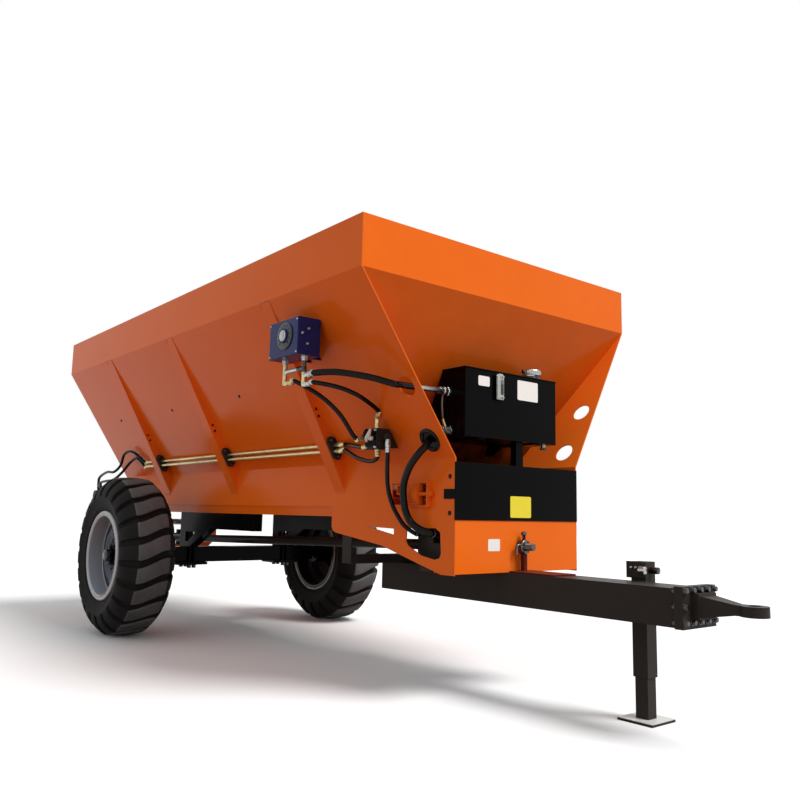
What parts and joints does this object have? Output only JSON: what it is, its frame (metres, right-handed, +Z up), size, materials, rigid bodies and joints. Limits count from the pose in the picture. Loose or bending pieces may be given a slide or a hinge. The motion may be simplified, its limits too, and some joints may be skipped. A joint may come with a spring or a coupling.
{
  "type": "manure spreader",
  "caption": "Towed manure spreader: V-shaped steel hopper with slat conveyor, rear lift gate and spinner discs, on an axle with lugged tyres, drawbar with ring hitch and parking jack.",
  "frame": {"origin": "on the ground under the middle of the machine's length and width", "axes": "+X forward to the ring hitch, +Y to the machine's left, +Z up"},
  "size_m": [6.614, 2.294, 2.401],
  "materials": {
    "orange_enamel": "gloss",
    "worn_steel": "satin",
    "gloss_black": "gloss",
    "satin_black": "satin",
    "wheel_silver": "satin",
    "yellow_zinc": "satin",
    "hose_rubber": "matte",
    "tyre_rubber": "matte",
    "navy_enamel": "gloss",
    "red_oxide": "satin"
  },
  "bodies": {
    "root": {"hopper_side_right": "orange_enamel", "hopper_side_left": "orange_enamel", "hopper_front": "orange_enamel", "hopper_rear": "orange_enamel", "ribs_right": "orange_enamel", "ribs_left": "orange_enamel", "sills": "orange_enamel", "conveyor_floor": "orange_enamel", "take_ups": "orange_enamel", "gate_guides": "orange_enamel", "front_box": "orange_enamel", "spinner_frame": "orange_enamel", "slat_chain": "worn_steel", "idler_shaft": "worn_steel", "drive_shaft": "worn_steel", "front_cover": "gloss_black", "oil_tank": "gloss_black", "axle": "gloss_black", "axle_seats": "gloss_black", "tank_bracket": "gloss_black", "drawbar": "satin_black", "hitch_eye": "satin_black", "jack_tube": "satin_black", "conveyor_motor": "satin_black", "gate_cylinder": "satin_black", "gearbox": "satin_black", "pump": "satin_black", "valve_block": "satin_black", "pipe_clamps": "satin_black", "drawbar_mounts": "satin_black", "tank_fittings": "wheel_silver", "steel_pipes": "yellow_zinc", "hoses_front": "hose_rubber", "hoses_rear": "hose_rubber", "flow_control": "navy_enamel", "pto_support": "red_oxide"},
    "wheel_right": {"tyre_right": "tyre_rubber", "rim_right": "wheel_silver", "hub_right": "gloss_black"},
    "wheel_left": {"tyre_left": "tyre_rubber", "rim_left": "wheel_silver", "hub_left": "gloss_black"},
    "driveline": {"driveline": "worn_steel"},
    "spinner_right": {"spinner_right": "worn_steel"},
    "spinner_left": {"spinner_left": "worn_steel"},
    "gate": {"gate": "orange_enamel"},
    "jack_leg": {"jack_leg": "satin_black"}
  },
  "joints": [
    {"name": "wheel_right", "type": "hinge", "parent": "root", "child": "wheel_right", "pos_m": [-1.207, -0.945, 0.58584], "axis": [0, 1, 0], "continuous": true},
    {"name": "wheel_left", "type": "hinge", "parent": "root", "child": "wheel_left", "pos_m": [-1.207, 0.945, 0.58584], "axis": [0, 1, 0], "continuous": true},
    {"name": "driveline", "type": "hinge", "parent": "root", "child": "driveline", "pos_m": [1.966, 0, 0.779], "axis": [0.9997, 0, 0.0244], "continuous": true},
    {"name": "spinner_right", "type": "hinge", "parent": "root", "child": "spinner_right", "pos_m": [-3.007, -0.34, 0.787], "axis": [0, 0, 1], "continuous": true},
    {"name": "spinner_left", "type": "hinge", "parent": "root", "child": "spinner_left", "pos_m": [-3.007, 0.34, 0.787], "axis": [0, 0, 1], "continuous": true},
    {"name": "gate", "type": "slide", "parent": "root", "child": "gate", "axis": [0, 0, 1], "range_m": [0, 0.3]},
    {"name": "jack_leg", "type": "slide", "parent": "root", "child": "jack_leg", "axis": [0, 0, 1], "range_m": [0, 0.17]}
  ],
  "couplings": [
    {"joint": "spinner_right", "follows": "driveline", "ratio": 1},
    {"joint": "spinner_left", "follows": "driveline", "ratio": -1}
  ]
}
